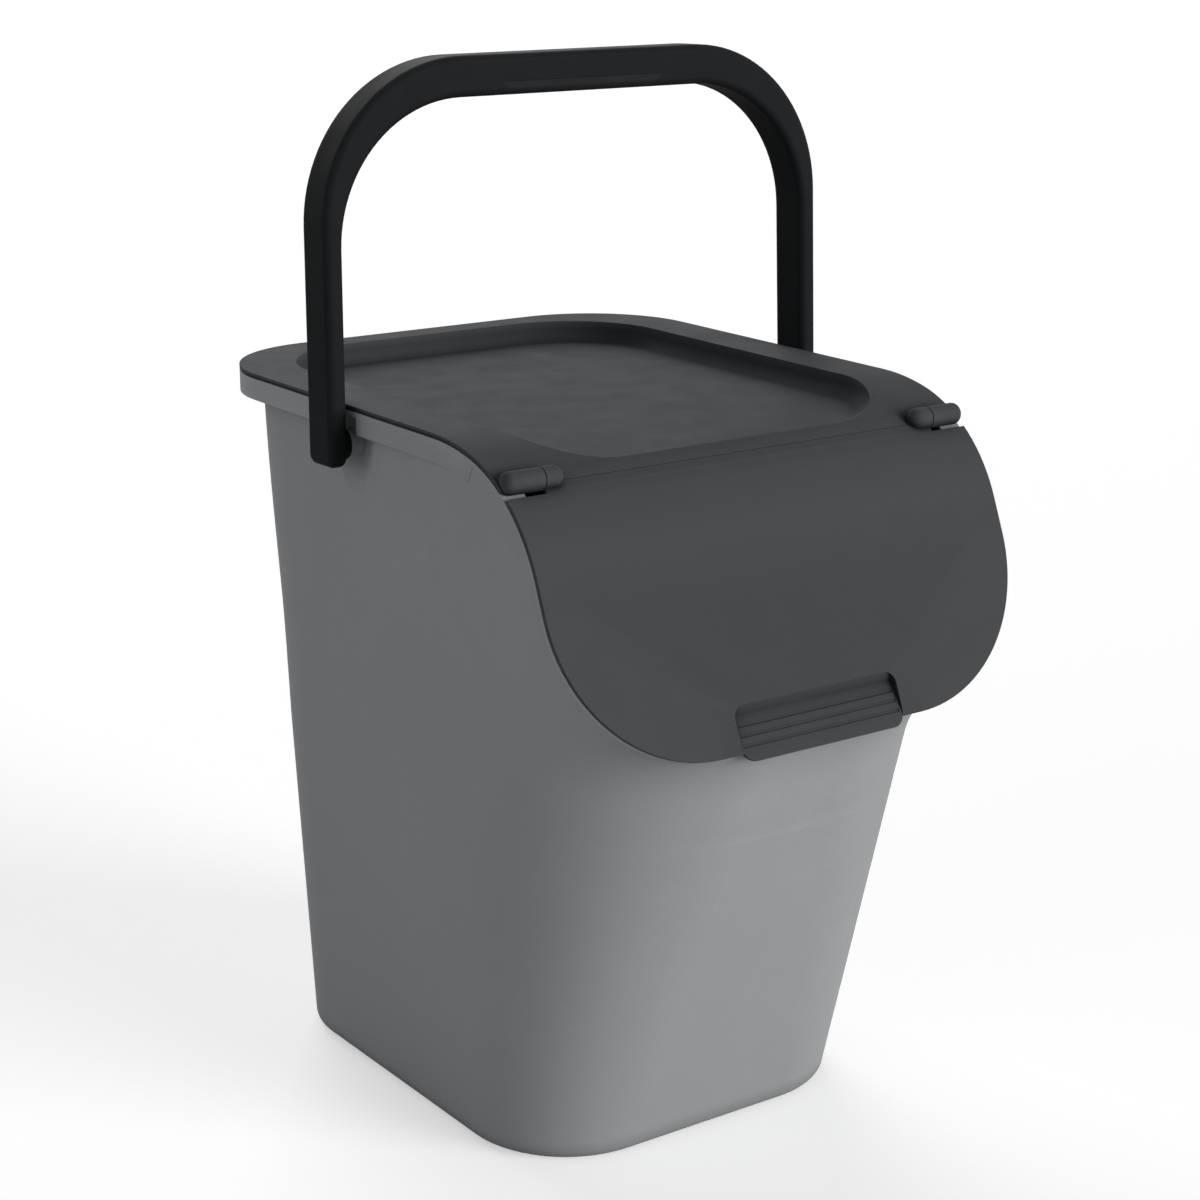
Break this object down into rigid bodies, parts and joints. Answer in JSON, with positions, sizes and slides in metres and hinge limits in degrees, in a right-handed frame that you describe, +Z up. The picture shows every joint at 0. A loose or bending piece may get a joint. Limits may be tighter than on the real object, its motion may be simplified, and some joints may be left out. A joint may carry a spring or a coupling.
{
  "type": "recycling bin with hooded flap and bail handle",
  "caption": "Grey plastic kitchen recycling bin with a lift-off dished lid, a hinged front flap with a ribbed grip and a dark bail carry handle.",
  "frame": {"origin": "centre of the tub's flat underside, on the floor", "axes": "+Z up, -Y towards the front flap, +X to the right of somebody who looks at the front"},
  "size_m": [0.287, 0.3429, 0.5109],
  "materials": {
    "tub_grey": "fine matt moulded grain",
    "lid_grey": "fine matt moulded grain",
    "handle_black": "satin moulded"
  },
  "bodies": {
    "tub": {"tub": "tub_grey"},
    "lid": {"lid": "lid_grey", "hinge_pins": "lid_grey"},
    "flap": {"flap": "lid_grey"},
    "handle": {"handle": "handle_black", "handle_grip": "handle_black"}
  },
  "joints": [
    {"name": "lid_lift", "type": "slide", "parent": "tub", "child": "lid", "axis": [0, 0, 1], "range_m": [0, 0.04]},
    {"name": "flap_hinge", "type": "hinge", "parent": "lid", "child": "flap", "pos_m": [0, -0.1429, 0.3438], "axis": [-1, 0, 0], "range_deg": [0, 170]},
    {"name": "handle_pivot", "type": "hinge", "parent": "tub", "child": "handle", "pos_m": [0, -0.0115, 0.338], "axis": [-1, 0, 0], "range_deg": [-20, 100]}
  ]
}
